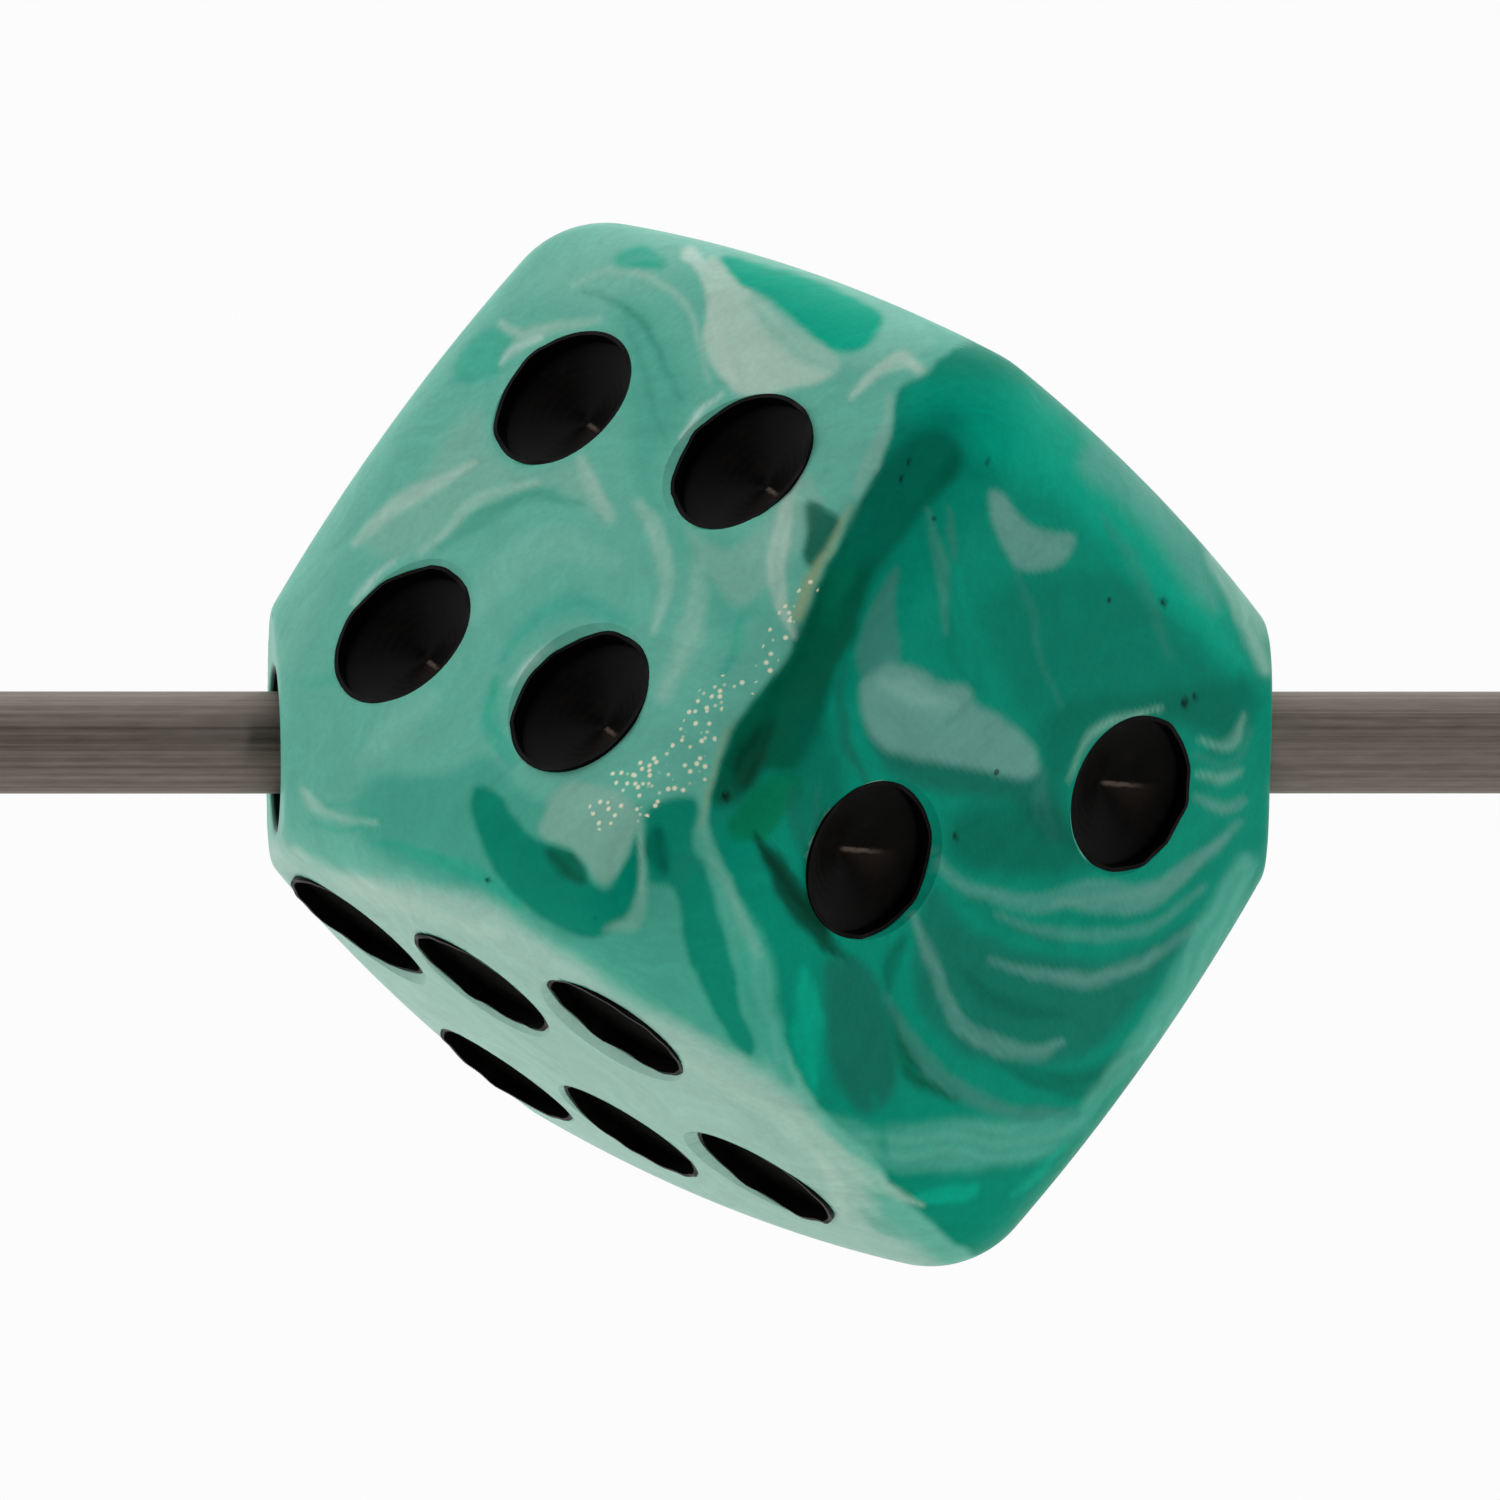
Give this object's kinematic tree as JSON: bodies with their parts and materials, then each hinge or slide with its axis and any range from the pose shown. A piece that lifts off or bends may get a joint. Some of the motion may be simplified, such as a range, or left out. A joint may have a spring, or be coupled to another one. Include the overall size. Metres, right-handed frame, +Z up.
{
  "type": "drilled dice bead on rod",
  "caption": "Rounded marbled die drilled corner to corner, with painted cone pips, threaded loosely on a straight thin steel rod and free to spin.",
  "frame": {"origin": "centre of the die, on the rod's axis, half way along the rod", "axes": "+X along the rod towards the drilled corner shared by the faces of two, three and one; +Z up; -Y towards the viewer who sees four, two and six"},
  "size_m": [0.036, 0.0162, 0.0162],
  "materials": {
    "marbled_plastic": "semi-gloss, tumbled",
    "pip_paint": "satin paint",
    "rod_steel": "cold drawn, lengthwise lines"
  },
  "bodies": {
    "rod": {"rod": "rod_steel"},
    "die": {"die_body": "marbled_plastic", "pip_one_1": "pip_paint", "pip_two_1": "pip_paint", "pip_two_2": "pip_paint", "pip_three_1": "pip_paint", "pip_three_2": "pip_paint", "pip_three_3": "pip_paint", "pip_four_1": "pip_paint", "pip_four_2": "pip_paint", "pip_four_3": "pip_paint", "pip_four_4": "pip_paint", "pip_five_1": "pip_paint", "pip_five_2": "pip_paint", "pip_five_3": "pip_paint", "pip_five_4": "pip_paint", "pip_five_5": "pip_paint", "pip_six_1": "pip_paint", "pip_six_2": "pip_paint", "pip_six_3": "pip_paint", "pip_six_4": "pip_paint", "pip_six_5": "pip_paint", "pip_six_6": "pip_paint"}
  },
  "joints": [
    {"name": "die_spin", "type": "hinge", "parent": "rod", "child": "die", "pos_m": [0, 0, 0], "axis": [1, 0, 0], "continuous": true}
  ]
}
